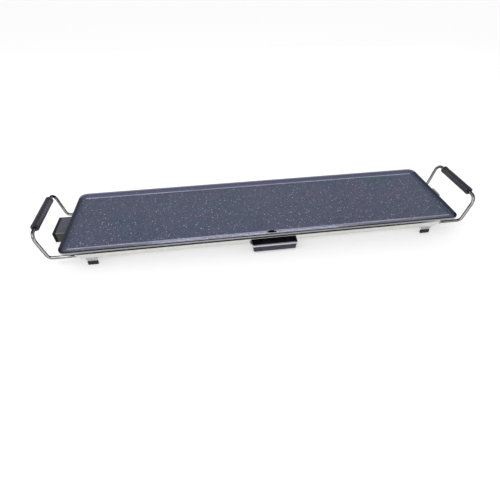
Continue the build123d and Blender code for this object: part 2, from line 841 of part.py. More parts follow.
save(make_front_rail(), "front_rail")
save(make_rear_rail(), "rear_rail")
right_rod = make_right_rod()
save(right_rod, "right_handle_rod")
save(flipped_x(right_rod), "left_handle_rod")
right_grip = make_right_grip()
save(right_grip, "right_grip")
save(flipped_x(right_grip), "left_grip")
right_brace = make_right_brace()
save(right_brace, "right_leg_brace")
save(flipped_x(right_brace), "left_leg_brace")
front_right_cap = make_front_right_cap()
save(front_right_cap, "foot_cap_front_right")
save(flipped_x(front_right_cap), "foot_cap_front_left")
save(flipped_y(front_right_cap), "foot_cap_rear_right")
save(flipped_x(flipped_y(front_right_cap)), "foot_cap_rear_left")
save_group(make_posts(), "plate_posts")
save_group(make_post_screws(), "post_screws")
save_group(make_frame_screws(), "frame_screws")
save_group(make_frame_nuts(), "frame_nuts")
save(make_heat_shield(), "heat_shield")
save_group(make_shield_rivets(), "shield_rivets")
save(make_left_runner(), "drawer_runner_left")
save(make_right_runner(), "drawer_runner_right")
save_group(make_runner_rivets(), "runner_rivets")

save(make_drawer(), "drip_drawer")
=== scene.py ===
from math import pi, radians, sin, tan

import bmesh
import bpy
from mathutils import Matrix, Vector


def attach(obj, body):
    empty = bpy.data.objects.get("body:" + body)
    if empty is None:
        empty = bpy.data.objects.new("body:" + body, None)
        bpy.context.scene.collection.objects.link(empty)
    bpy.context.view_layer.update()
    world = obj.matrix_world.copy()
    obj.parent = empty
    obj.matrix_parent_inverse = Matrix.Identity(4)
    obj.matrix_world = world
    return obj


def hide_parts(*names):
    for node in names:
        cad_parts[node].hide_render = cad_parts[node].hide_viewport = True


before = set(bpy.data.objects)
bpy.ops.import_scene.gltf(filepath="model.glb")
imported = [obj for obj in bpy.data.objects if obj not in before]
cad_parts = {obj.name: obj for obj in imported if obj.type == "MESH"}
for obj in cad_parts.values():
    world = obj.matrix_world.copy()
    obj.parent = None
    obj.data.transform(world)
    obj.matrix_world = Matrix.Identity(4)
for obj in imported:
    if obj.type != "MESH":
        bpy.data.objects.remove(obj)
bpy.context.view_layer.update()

mm = 0.001
mergeDistance = 0.001 * mm         # corners closer than this are one
smoothAngle = radians(32)          # edges that bend more than this stay sharp

# The plate and its drain hole stand here because the border's masks and the coating follow them
plateSize = {
    "length": 900 * mm, "width": 230 * mm, "corner": 17 * mm, "cornerSteps": 10,
    "rimTop": 63.6 * mm, "rimBottom": 58.6 * mm, "floorTop": 59.0 * mm, "floorUnder": 55.0 * mm,
    "crest": 1.5 * mm, "border": 13.5 * mm, "floorCorner": 9 * mm, "dishInset": 2.4 * mm,
    "dishDraft": 2.0 * mm, "foldWidth": 2.2 * mm, "foldSteps": 4, "rimRound": 0.56 * mm, "rimSteps": 3,
    "rimBend": radians(10), "foldBend": radians(5), "bossEdge": 0.6 * mm, "bossOverlap": 1 * mm,
}
drainSize = {
    "x": 8 * mm, "y": -102 * mm, "length": 21 * mm, "width": 10 * mm, "wall": 1.5 * mm,
    "bottom": 52 * mm, "top": 57.5 * mm, "cutBottom": 51 * mm, "cutHeight": 20 * mm,
    "endShare": 0.499,             # radius of the round ends, as a share of the width
    "cornerSteps": 8,
}
print("frame loaded")


# Camera, light and floor

view = {
    "place": (-0.1203, -0.6986, 0.5479),
    "aim": (-0.0490, -0.1565, 0.0600),
    "roll": radians(-0.475),
    "focalLength": 25.05,          # mm on a sensor of that width
    "sensorWidth": 36,
}
studio = {
    "floorSize": 14.0,
    "floorColour": (0.80, 0.80, 0.80, 1),
    "floorRough": 0.9,
    "floorGloss": 0.1,
    "floorLift": 0.47,             # white added for camera and gloss only, so that the shadow stays
    "skyLight": 0.62,
    "skyTop": 0.22,                # what gloss sees overhead, against 1 at the horizon
    "skyBend": (0.22, 0.58),       # heights between which it falls off
    "lampAim": (0, 0, 0.06),
    "keyPlace": (-0.9, -0.9, 1.7),
    "keySize": (1.4, 1.0),
    "keyPower": 11.0,
    "backPlace": (0.15, 1.9, 0.20),
    "backSize": (1.5, 0.30),
    "backPower": 11.0,
    "backColour": (0.80, 0.82, 1.0),
}


def makeCamera():
    data = bpy.data.cameras.new("camera")
    data.lens = view["focalLength"]
    data.sensor_width = view["sensorWidth"]
    data.clip_start = 0.01
    camera = bpy.data.objects.new("camera", data)
    place = Vector(view["place"])
    turn = (Vector(view["aim"]) - place).to_track_quat("-Z", "Y").to_matrix().to_4x4()
    camera.matrix_world = Matrix.Translation(place) @ turn @ Matrix.Rotation(view["roll"], 4, "Z")
    bpy.context.scene.collection.objects.link(camera)
    bpy.context.scene.camera = camera


def makeAreaLight(name, place, size, power, colour=(1, 1, 1)):
    data = bpy.data.lights.new(name, "AREA")
    data.shape = "RECTANGLE"
    data.size, data.size_y = size
    data.energy = power
    data.color = colour
    lamp = bpy.data.objects.new(name, data)
    turn = (Vector(studio["lampAim"]) - Vector(place)).to_track_quat("-Z", "Y").to_matrix().to_4x4()
    lamp.matrix_world = Matrix.Translation(place) @ turn
    lamp.visible_camera = False
    bpy.context.scene.collection.objects.link(lamp)


def makeWorld():
    # white for the camera, even light for matt surfaces, and for glossy ones a sky that darkens upwards
    world = bpy.data.worlds.new("studioWorld")
    world.use_nodes = True
    tree = world.node_tree
    tree.nodes.clear()
    out = addNode(tree, "ShaderNodeOutputWorld")
    paths = addNode(tree, "ShaderNodeLightPath")
    seen = addNode(tree, "ShaderNodeBackground", {"Color": (1, 1, 1, 1), "Strength": 1.0})
    lit = addNode(tree, "ShaderNodeBackground", {"Color": (1, 1, 1, 1), "Strength": studio["skyLight"]})
    glossed = addNode(tree, "ShaderNodeBackground", {"Strength": 1.0})
    direction = addNode(tree, "ShaderNodeTexCoord")
    parts = addNode(tree, "ShaderNodeSeparateXYZ")
    join(tree, direction, "Generated", parts, "Vector")
    fall = spread(tree, (parts, "Z"), studio["skyBend"], (1.0, studio["skyTop"]), "SMOOTHSTEP")
    join(tree, fall, "Result", glossed, "Color")
    byGloss = addNode(tree, "ShaderNodeMixShader")
    join(tree, paths, "Is Glossy Ray", byGloss, 0)
    join(tree, lit, 0, byGloss, 1)
    join(tree, glossed, 0, byGloss, 2)
    byCamera = addNode(tree, "ShaderNodeMixShader")
    either = calculate(tree, "MAXIMUM", (paths, "Is Camera Ray"), (paths, "Is Transmission Ray"))
    join(tree, either, 0, byCamera, 0)
    join(tree, byGloss, 0, byCamera, 1)
    join(tree, seen, 0, byCamera, 2)
    join(tree, byCamera, 0, out, "Surface")
    bpy.context.scene.world = world


def makeFloor():
    bm = bmesh.new()
    bmesh.ops.create_grid(bm, x_segments=1, y_segments=1, size=studio["floorSize"] / 2)
    mesh = bpy.data.meshes.new("floor")
    bm.to_mesh(mesh)
    bm.free()
    floor = bpy.data.objects.new("floor", mesh)
    bpy.context.scene.collection.objects.link(floor)
    material, tree, surface = newMaterial("paleFloor", {"Base Color": studio["floorColour"],
                                                        "Roughness": studio["floorRough"],
                                                        "Specular IOR Level": studio["floorGloss"]})
    surface.inputs["Emission Color"].default_value = (1, 1, 1, 1)
    paths = addNode(tree, "ShaderNodeLightPath")
    seen = calculate(tree, "MAXIMUM", (paths, "Is Camera Ray"), (paths, "Is Glossy Ray"))
    lift = calculate(tree, "MULTIPLY", (seen, 0), studio["floorLift"])
    join(tree, lift, 0, surface, "Emission Strength")
    mesh.materials.append(material)


# Small helpers for node trees

def addNode(tree, kind, values=None, **settings):
    node = tree.nodes.new(kind)
    for key, value in settings.items():
        setattr(node, key, value)
    for key, value in (values or {}).items():
        node.inputs[key].default_value = value
    return node


def join(tree, source, output, target, socket):
    tree.links.new(source.outputs[output], target.inputs[socket])


def calculate(tree, operation, *given):
    # a math node: what goes in is a number, or a node with one of its outputs
    node = addNode(tree, "ShaderNodeMath", operation=operation)
    for socket, item in enumerate(given):
        if isinstance(item, tuple):
            join(tree, *item, node, socket)
        else:
            node.inputs[socket].default_value = item
    return node


def spread(tree, source, given, made=(0.0, 1.0), fall="LINEAR"):
    # moves a value from one range to another
    node = addNode(tree, "ShaderNodeMapRange", {"From Min": given[0], "From Max": given[1],
                                                "To Min": made[0], "To Max": made[1]},
                   interpolation_type=fall)
    join(tree, *source, node, "Value")
    return node


def newMaterial(name, values=None):
    material = bpy.data.materials.new(name)
    material.use_nodes = True
    tree = material.node_tree
    tree.nodes.clear()
    surface = addNode(tree, "ShaderNodeBsdfPrincipled", values)
    out = addNode(tree, "ShaderNodeOutputMaterial")
    join(tree, surface, "BSDF", out, "Surface")
    return material, tree, surface


def newGroup(name, inputs, outputs):
    # inputs are names with their default values, outputs are names with their kinds
    group = bpy.data.node_groups.new(name, "ShaderNodeTree")
    for key, value in inputs.items():
        kind = "NodeSocketColor" if isinstance(value, tuple) else "NodeSocketFloat"
        socket = group.interface.new_socket(key, in_out="INPUT", socket_type=kind)
        socket.default_value = value
    for key, kind in outputs:
        group.interface.new_socket(key, in_out="OUTPUT", socket_type=kind)
    return group, addNode(group, "NodeGroupInput"), addNode(group, "NodeGroupOutput")


def placeGroup(tree, group, values):
    node = addNode(tree, "ShaderNodeGroup", node_tree=group)
    for key, value in values.items():
        node.inputs[key].default_value = value
    return node


def addBump(tree, surface, source, output, strength, distance):
    bump = addNode(tree, "ShaderNodeBump", {"Strength": strength, "Distance": distance})
    join(tree, source, output, bump, "Height")
    join(tree, bump, "Normal", surface, "Normal")


def objectCoordinates(tree):
    return addNode(tree, "ShaderNodeTexCoord")


# Shared effects

def makeMottleGroup():
    # slow patches between two colours, and a roughness that follows them
    group, given, made = newGroup("mottle", {
        "First": (0.1, 0.1, 0.1, 1), "Second": (0.2, 0.2, 0.2, 1), "Scale": 20.0,
        "Rough Low": 0.3, "Rough High": 0.5}, [("Color", "NodeSocketColor"), ("Rough", "NodeSocketFloat")])
    where = objectCoordinates(group)
    noise = addNode(group, "ShaderNodeTexNoise", {"Detail": 5.0, "Roughness": 0.6, "Distortion": 0.4})
    join(group, where, "Object", noise, "Vector")
    join(group, given, "Scale", noise, "Scale")
    sharpened = spread(group, (noise, "Fac"), (0.32, 0.68))
    mix = addNode(group, "ShaderNodeMix", data_type="RGBA")
    join(group, sharpened, "Result", mix, 0)
    join(group, given, "First", mix, 6)
    join(group, given, "Second", mix, 7)
    join(group, mix, 2, made, "Color")
    rough = spread(group, (noise, "Fac"), (0.3, 0.7))
    join(group, given, "Rough Low", rough, "To Min")
    join(group, given, "Rough High", rough, "To Max")
    join(group, rough, "Result", made, "Rough")
    return group


def makeSpeckleGroup():
    # round specks of uneven size, one in some of the cells of a cell pattern
    group, given, made = newGroup("speckle", {"Scale": 150.0, "Size": 0.3, "Share": 0.3},
                                  [("Mask", "NodeSocketFloat")])
    where = objectCoordinates(group)
    cells = addNode(group, "ShaderNodeTexVoronoi", {"Randomness": 1.0})
    shift = addNode(group, "ShaderNodeTexNoise", {"Scale": 420.0, "Detail": 2.0})
    picked = addNode(group, "ShaderNodeSeparateColor")
    join(group, where, "Object", cells, "Vector")
    join(group, given, "Scale", cells, "Scale")
    join(group, cells, "Color", picked, "Color")
    join(group, where, "Object", shift, "Vector")
    wobble = spread(group, (shift, "Fac"), (0.3, 0.7), (-0.10, 0.10))
    ragged = calculate(group, "ADD", (cells, "Distance"), (wobble, "Result"))
    some = calculate(group, "LESS_THAN", (picked, "Red"), (given, "Share"))
    reach = calculate(group, "MULTIPLY", (picked, "Green"), (given, "Size"))
    softEnd = calculate(group, "ADD", (reach, 0), 0.12)
    disc = spread(group, (ragged, 0), (0.0, 1.0), (1.0, 0.0))
    join(group, reach, 0, disc, "From Min")
    join(group, softEnd, 0, disc, "From Max")
    mask = calculate(group, "MULTIPLY", (disc, "Result"), (some, 0))
    join(group, mask, 0, made, "Mask")
    return group


# ranges for the painted light on the border: a painted highlight along the fold, painted shade at the ends
# and a painted sheen on the back
borderFade = {
    "inside": (-2 * mm, 1 * mm),       # where the painted highlight line stops before the plate's ends
    "ends": (-4 * mm, 10 * mm),        # where the painted shade at the ends comes in
    "back": (-1 * mm, 1 * mm),
    "breakupScale": 26.0,
    "highlightBreakup": (0.5, 1.0),                # how much of the painted highlight line is left where noise breaks it up
}


def makeBorderGroup():
    # masks from a rounded rectangle: along its long edges, past its ends, past its back, and how far
    # outside it a point lies
    group, given, made = newGroup("border", {
        "Half Length": plateSize["length"] / 2 - plateSize["crest"] - plateSize["border"],
        "Half Width": plateSize["width"] / 2 - plateSize["crest"] - plateSize["border"],
        "Corner": 0.0, "Reach": 1 * mm},
        [(key, "NodeSocketFloat") for key in ("Edges", "Ends", "Back", "Beyond")])
    where = objectCoordinates(group)
    parts = addNode(group, "ShaderNodeSeparateXYZ")
    span = addNode(group, "ShaderNodeCombineXYZ")
    join(group, where, "Object", parts, "Vector")
    past = {}
    for axis, limit in (("X", "Half Length"), ("Y", "Half Width")):
        far = calculate(group, "ABSOLUTE", (parts, axis))
        past[axis] = calculate(group, "SUBTRACT", (far, 0), (given, limit))
        rounded = calculate(group, "ADD", (past[axis], 0), (given, "Corner"))
        outside = calculate(group, "MAXIMUM", (rounded, 0), 0.0)
        join(group, outside, 0, span, axis)
    distance = addNode(group, "ShaderNodeVectorMath", operation="LENGTH")
    join(group, span, "Vector", distance, 0)
    beyond = calculate(group, "SUBTRACT", (distance, "Value"), (given, "Corner"))
    away = calculate(group, "ABSOLUTE", (past["Y"], 0))
    line = spread(group, (away, 0), (0.0, 1.0), (1.0, 0.0), "SMOOTHSTEP")
    join(group, given, "Reach", line, "From Max")
    # noise breaks up the painted highlight line unevenly
    uneven = addNode(group, "ShaderNodeTexNoise", {"Scale": borderFade["breakupScale"], "Detail": 3.0})
    join(group, where, "Object", uneven, "Vector")
    highlightBreakup = spread(group, (uneven, "Fac"), (0.3, 0.7), borderFade["highlightBreakup"])
    paintedHighlight = calculate(group, "MULTIPLY", (line, "Result"), (highlightBreakup, "Result"))
    inside = spread(group, (past["X"], 0), borderFade["inside"], (1.0, 0.0))
    edges = calculate(group, "MULTIPLY", (paintedHighlight, 0), (inside, "Result"))
    ends = spread(group, (past["X"], 0), borderFade["ends"])
    behind = calculate(group, "SUBTRACT", (parts, "Y"), (given, "Half Width"))
    back = spread(group, (behind, 0), borderFade["back"])
    join(group, edges, 0, made, "Edges")
    join(group, ends, "Result", made, "Ends")
    join(group, back, "Result", made, "Back")
    join(group, beyond, 0, made, "Beyond")
    return group


def makeGrainGroup():
    # fine grain stretched along X, for rolled and brushed metal, or even in all directions
    group, given, made = newGroup("grain", {"Scale": 900.0, "Stretch": 0.04, "Low": 0.0, "High": 1.0},
                                  [("Height", "NodeSocketFloat"), ("Value", "NodeSocketFloat")])
    where = objectCoordinates(group)
    parts = addNode(group, "ShaderNodeSeparateXYZ")
    again = addNode(group, "ShaderNodeCombineXYZ")
    noise = addNode(group, "ShaderNodeTexNoise", {"Detail": 4.0, "Roughness": 0.65})
    join(group, where, "Object", parts, "Vector")
    along = calculate(group, "MULTIPLY", (parts, "X"), (given, "Stretch"))
    join(group, along, 0, again, "X")
    join(group, parts, "Y", again, "Y")
    join(group, parts, "Z", again, "Z")
    join(group, again, "Vector", noise, "Vector")
    join(group, given, "Scale", noise, "Scale")
    join(group, noise, "Fac", made, "Height")
    value = spread(group, (noise, "Fac"), (0.25, 0.75))
    join(group, given, "Low", value, "To Min")
    join(group, given, "High", value, "To Max")
    join(group, value, "Result", made, "Value")
    return group


def makeSmoothGroup():
    # smooth shading with sharp edges above an angle, for nodes that keep their own mesh
    group = bpy.data.node_groups.new("smoothByAngle", "GeometryNodeTree")
    group.interface.new_socket("Geometry", in_out="INPUT", socket_type="NodeSocketGeometry")
    group.interface.new_socket("Geometry", in_out="OUTPUT", socket_type="NodeSocketGeometry")
    given = addNode(group, "NodeGroupInput")
    made = addNode(group, "NodeGroupOutput")
    soft = addNode(group, "GeometryNodeSetShadeSmooth", {"Shade Smooth": True})
    angle = addNode(group, "GeometryNodeInputMeshEdgeAngle")
    above = addNode(group, "FunctionNodeCompare", data_type="FLOAT", operation="GREATER_THAN")
    above.inputs["B"].default_value = smoothAngle
    hard = addNode(group, "GeometryNodeSetShadeSmooth", {"Shade Smooth": False}, domain="EDGE")
    join(group, given, "Geometry", soft, "Geometry")
    join(group, soft, "Geometry", hard, "Geometry")
    join(group, angle, "Unsigned Angle", above, "A")
    join(group, above, "Result", hard, "Selection")
    join(group, hard, "Geometry", made, "Geometry")
    return group


mottle = makeMottleGroup()
speckle = makeSpeckleGroup()
grain = makeGrainGroup()
border = makeBorderGroup()
smoothByAngle = makeSmoothGroup()
print("shared effects ready")


# Materials

coating = {
    "slate": (0.069, 0.098, 0.148, 1),
    "violet": (0.091, 0.089, 0.160, 1),
    "patchScale": 13.0,
    "grain": {"Scale": 230.0, "Stretch": 1.0, "Low": 0.62, "High": 1.36},
    "speck": (0.52, 0.53, 0.62, 1),
    "smallSpecks": {"Scale": 300.0, "Size": 0.24, "Share": 0.50},
    "smallShare": 0.42,
    "largeSpecks": {"Scale": 180.0, "Size": 0.19, "Share": 0.52},
    "largeShare": 0.90,
    # painted highlight: a pale line along the fold at the foot of the border
    "fold": (0.60, 0.62, 0.80, 1),
    "foldReach": 2.6 * mm,         # half the width of the painted highlight along the fold
    "foldInset": 2.2 * mm,         # inset of the painted highlight line from the middle of the fold
    # painted sheen: the back border made paler and bluer, as it catches the light
    "back": (0.150, 0.150, 0.250, 1),
    "backShare": 0.55,
    # painted shade: a darker tone for the plate's ends, the upper slope of the border and the crest
    "ends": (0.029, 0.034, 0.058, 1),
    "endShare": 0.5,
    "lip": (0.31, 0.31, 0.33, 1),
    "lipDepth": 0.5 * mm,
    "upperSlope": 2.2 * mm,        # height of the border's strip of painted shade, from the top of the rim
    "crestHeight": 1.0 * mm,       # height of the crest's painted shade above it
    # painted shade: a near-black front crest, made a black metal so that it mirrors nothing
    "frontCrest": (0.012, 0.013, 0.020, 1),
    # painted highlight: the rear crest made paler and bluer
    "rearCrest": (0.24, 0.25, 0.33, 1),
    "cast": (0.15, 0.15, 0.16, 1),
    "castMargin": 0.2 * mm,
    # painted shade in and round the drain hole
    "drain": (0.006, 0.006, 0.008, 1),
    "drainShift": -0.5 * mm,       # of the painted shade patch towards the front
    "drainMargin": (1.1 * mm, 1.6 * mm),
    "rough": (0.27, 0.38),
    "bareRough": 0.34,
    "bareMetal": 0.85,
    "peel": {"Scale": 900.0, "Detail": 3.0, "Roughness": 0.6},
    "peelStrength": 0.30,
    "peelDepth": 0.2 * mm,
}
textureDepth = 0.1 * mm            # of the grain on all other finishes
mouldTexture = {"Scale": 1100.0, "Stretch": 1.0, "Low": 0.85, "High": 1.12}


def paintOver(tree, below, mask, output, colour, share=1.0):
    # lays a colour over the last one where a mask says so
    mix = addNode(tree, "ShaderNodeMix", {7: colour}, data_type="RGBA")
    part = calculate(tree, "MULTIPLY", (mask, output), share)
    join(tree, part, 0, mix, 0)
    join(tree, below, "Color" if below.type == "GROUP" else 2, mix, 6)
    return mix


def placeTone(tree, first, second, rough, scale):
    # two close tones with their roughness
    return placeGroup(tree, mottle, {"First": first, "Second": second, "Scale": scale,
                                     "Rough Low": rough[0], "Rough High": rough[1]})


def shadeBy(tree, tone, texture):
    # a tone made paler and darker by a grain
    mix = addNode(tree, "ShaderNodeMix", {0: 1.0}, data_type="RGBA", blend_type="MULTIPLY")
    join(tree, tone, "Color", mix, 6)
    join(tree, texture, "Value", mix, 7)
    return mix


def objectPlace(tree):
    # X, Y and Z of a point on the piece
    where = objectCoordinates(tree)
    place = addNode(tree, "ShaderNodeSeparateXYZ")
    join(tree, where, "Object", place, "Vector")
    return place


def drainShade(tree):
    # painted shade: an oval patch round the drain hole, all the way down
    where = objectCoordinates(tree)
    middle = (drainSize["x"], drainSize["y"] + coating["drainShift"], 0)
    half = (drainSize["length"] / 2 + coating["drainMargin"][0],
            drainSize["width"] / 2 + coating["drainMargin"][1], 1000)
    away = addNode(tree, "ShaderNodeVectorMath", {1: middle}, operation="SUBTRACT")
    squeezed = addNode(tree, "ShaderNodeVectorMath", {1: half}, operation="DIVIDE")
    reach = addNode(tree, "ShaderNodeVectorMath", operation="LENGTH")
    join(tree, where, "Object", away, 0)
    join(tree, away, 0, squeezed, 0)
    join(tree, squeezed, 0, reach, 0)
    return calculate(tree, "LESS_THAN", (reach, "Value"), 1.0)


def makeCoating():
    # speckled coating on top, bare turned lip round the rim, plain casting below, with painted highlight,
    # sheen and shade on the border and round the drain
    material, tree, surface = newMaterial("speckledCoating", {"Specular IOR Level": 0.42, "IOR": 1.5})
    place = objectPlace(tree)
    patches = placeTone(tree, coating["slate"], coating["violet"], coating["rough"], coating["patchScale"])
    fine = placeGroup(tree, grain, coating["grain"])
    small = placeGroup(tree, speckle, coating["smallSpecks"])
    large = placeGroup(tree, speckle, coating["largeSpecks"])
    foldLine = plateSize["width"] / 2 - plateSize["crest"] - plateSize["border"] - coating["foldInset"]
    fold = placeGroup(tree, border, {"Reach": coating["foldReach"], "Half Width": foldLine})
    outer = placeGroup(tree, border, {"Half Length": plateSize["length"] / 2 - coating["lipDepth"],
                                      "Half Width": plateSize["width"] / 2 - coating["lipDepth"],
                                      "Corner": plateSize["corner"] - coating["lipDepth"]})
    upper = calculate(tree, "GREATER_THAN", (place, "Z"), plateSize["rimTop"] - coating["upperSlope"])
    crest = calculate(tree, "GREATER_THAN", (place, "Z"), plateSize["rimTop"] - coating["crestHeight"])
    under = calculate(tree, "LESS_THAN", (place, "Z"), plateSize["rimBottom"] + coating["castMargin"])
    lip = calculate(tree, "GREATER_THAN", (outer, "Beyond"), 0.0)
    frontal = calculate(tree, "LESS_THAN", (place, "Y"), -foldLine)
    frontCrest = calculate(tree, "MULTIPLY", (crest, 0), (frontal, 0))
    rearCrest = calculate(tree, "MULTIPLY", (crest, 0), (fold, "Back"))
    drain = drainShade(tree)
    layer = shadeBy(tree, patches, fine)
    # painted light among these layers: painted shade on the upper slope, the ends, the crest and the drain,
    # a painted sheen on the back border, and a painted highlight along the fold and on the rear crest
    for mask, output, colour, share in (
            (small, "Mask", "speck", coating["smallShare"]), (large, "Mask", "speck", coating["largeShare"]),
            (upper, 0, "ends", 1.0), (fold, "Back", "back", coating["backShare"]),
            (fold, "Edges", "fold", 1.0), (fold, "Ends", "ends", coating["endShare"]),
            (lip, 0, "lip", 1.0), (crest, 0, "ends", 1.0), (frontCrest, 0, "frontCrest", 1.0),
            (rearCrest, 0, "rearCrest", 1.0), (under, 0, "cast", 1.0), (drain, 0, "drain", 1.0)):
        layer = paintOver(tree, layer, mask, output, coating[colour], share)
    join(tree, layer, 2, surface, "Base Color")
    bare = calculate(tree, "MAXIMUM", (under, 0), (lip, 0))
    metal = calculate(tree, "MULTIPLY", (bare, 0), coating["bareMetal"])
    dark = calculate(tree, "MAXIMUM", (drain, 0), (frontCrest, 0))
    metallic = calculate(tree, "MAXIMUM", (metal, 0), (dark, 0))      # a black metal mirrors nothing, so the painted shade stays dark
    join(tree, metallic, 0, surface, "Metallic")
    rough = addNode(tree, "ShaderNodeMix", {3: coating["bareRough"]}, data_type="FLOAT")
    join(tree, bare, 0, rough, 0)
    join(tree, patches, "Rough", rough, 2)
    join(tree, rough, 0, surface, "Roughness")
    peel = addNode(tree, "ShaderNodeTexNoise", coating["peel"])
    join(tree, objectCoordinates(tree), "Object", peel, "Vector")
    addBump(tree, surface, peel, "Fac", coating["peelStrength"], coating["peelDepth"])
    return material


def makeMetal(name, colour, second, rough, stretch=0.04, scale=1400.0, bump=0.12, metallic=1.0):
    # sheet, rod or turned metal: two close tones, grain and a roughness that varies
    material, tree, surface = newMaterial(name, {"Metallic": metallic})
    tone = placeTone(tree, colour, second, rough, 30.0)
    lines = placeGroup(tree, grain, {"Scale": scale, "Stretch": stretch, "Low": 0.88, "High": 1.06})
    join(tree, shadeBy(tree, tone, lines), 2, surface, "Base Color")
    join(tree, tone, "Rough", surface, "Roughness")
    addBump(tree, surface, lines, "Height", bump, textureDepth)
    return material


rodFinish = {
    "first": (0.36, 0.36, 0.36, 1),
    "second": (0.50, 0.50, 0.49, 1),
    "rough": (0.06, 0.12),
    "side": (0.05, 0.05, 0.054, 1),
    "sideStart": (0.10, 0.44),         # how far the surface turns away before it is dark
    "glance": (0.16, 0.16, 0.17, 1),
}


def makeChrome():
    # polished rod: pale core and dark edges, as dark surroundings mirrored in it would give
    material, tree, surface = newMaterial("polishedRod", {"Metallic": 1.0,
                                                          "Specular Tint": rodFinish["glance"]})
    tone = placeTone(tree, rodFinish["first"], rodFinish["second"], rodFinish["rough"], 60.0)
    edge = addNode(tree, "ShaderNodeLayerWeight", {"Blend": 0.5})
    dark = spread(tree, (edge, "Facing"), rodFinish["sideStart"])
    layer = paintOver(tree, tone, dark, "Result", rodFinish["side"])
    join(tree, layer, 2, surface, "Base Color")
    join(tree, tone, "Rough", surface, "Roughness")
    return material


hoodFinish = {
    "first": (0.032, 0.038, 0.026, 1),
    "second": (0.041, 0.045, 0.036, 1),
    "rough": (0.40, 0.55),
    # painted light: a paler, cooler tone where the sheet faces up
    "top": (0.102, 0.102, 0.142, 1),
    "topStart": (0.55, 0.95),          # how far the surface faces up
    # painted highlight on the rounded edge between top and sides
    "paintedHighlight": (0.30, 0.30, 0.29, 1),
    "highlightBend": (0.25, 0.90),          # how far the edge with the painted highlight faces up
    "highlightShare": 0.8,
    # painted shade: a near-black band at the mouth
    "mouth": (0.006, 0.005, 0.008, 1),
    "mouthStart": (-476.2 * mm, -477.8 * mm),
    "mouthShare": 0.9,
    "bump": 0.25,
}


def makeHood():
    # painted sheet, olive on the sides; painted light makes the top paler and cooler, a painted highlight
    # runs along the edge between top and sides, and painted shade darkens the edge at the mouth
    material, tree, surface = newMaterial("darkSheet", {"Specular IOR Level": 0.4})
    place = objectPlace(tree)
    shape = addNode(tree, "ShaderNodeNewGeometry")
    facing = addNode(tree, "ShaderNodeSeparateXYZ")
    join(tree, shape, "Normal", facing, "Vector")
    tone = placeTone(tree, hoodFinish["first"], hoodFinish["second"], hoodFinish["rough"], 60.0)
    top = spread(tree, (facing, "Z"), hoodFinish["topStart"])
    up = calculate(tree, "GREATER_THAN", (facing, "Z"), hoodFinish["highlightBend"][0])
    bent = calculate(tree, "LESS_THAN", (facing, "Z"), hoodFinish["highlightBend"][1])
    paintedHighlight = calculate(tree, "MULTIPLY", (up, 0), (bent, 0))
    mouth = spread(tree, (place, "X"), hoodFinish["mouthStart"])
    layer = paintOver(tree, tone, top, "Result", hoodFinish["top"])
    layer = paintOver(tree, layer, paintedHighlight, 0, hoodFinish["paintedHighlight"], hoodFinish["highlightShare"])
    layer = paintOver(tree, layer, mouth, "Result", hoodFinish["mouth"], hoodFinish["mouthShare"])
    texture = placeGroup(tree, grain, mouldTexture)
    join(tree, layer, 2, surface, "Base Color")
    # the painted shade at the mouth is also a black metal, so that it mirrors nothing
    join(tree, mouth, "Result", surface, "Metallic")
    join(tree, tone, "Rough", surface, "Roughness")
    addBump(tree, surface, texture, "Height", hoodFinish["bump"], textureDepth)
    return material


def makeMoulded(name, colour, second, rough, bump=0.25, gloss=0.5):
    # moulded or painted surface with a fine even texture
    material, tree, surface = newMaterial(name, {"Specular IOR Level": gloss})
    tone = placeTone(tree, colour, second, rough, 24.0)
    texture = placeGroup(tree, grain, mouldTexture)
    join(tree, shadeBy(tree, tone, texture), 2, surface, "Base Color")
    join(tree, tone, "Rough", surface, "Roughness")
    addBump(tree, surface, texture, "Height", bump, textureDepth)
    return material


rimFinish = {
    "first": (0.024, 0.023, 0.029, 1),
    "second": (0.032, 0.031, 0.037, 1),
    "rough": (0.28, 0.40),
    # painted highlight along the rim's upper band
    "rimHighlight": (0.84, 0.84, 0.94, 1),
    "rimHighlightStart": (22.6 * mm, 23.2 * mm),
}


def makeRim():
    # painted highlight: a pale upper band on the drawer's rim, dark below
    material, tree, surface = newMaterial("highlightedRim", {"Specular IOR Level": 0.25})
    upper = spread(tree, (objectPlace(tree), "Z"), rimFinish["rimHighlightStart"])
    tone = placeTone(tree, rimFinish["first"], rimFinish["second"], rimFinish["rough"], 60.0)
    layer = paintOver(tree, tone, upper, "Result", rimFinish["rimHighlight"])
    join(tree, layer, 2, surface, "Base Color")
    join(tree, tone, "Rough", surface, "Roughness")
    return material


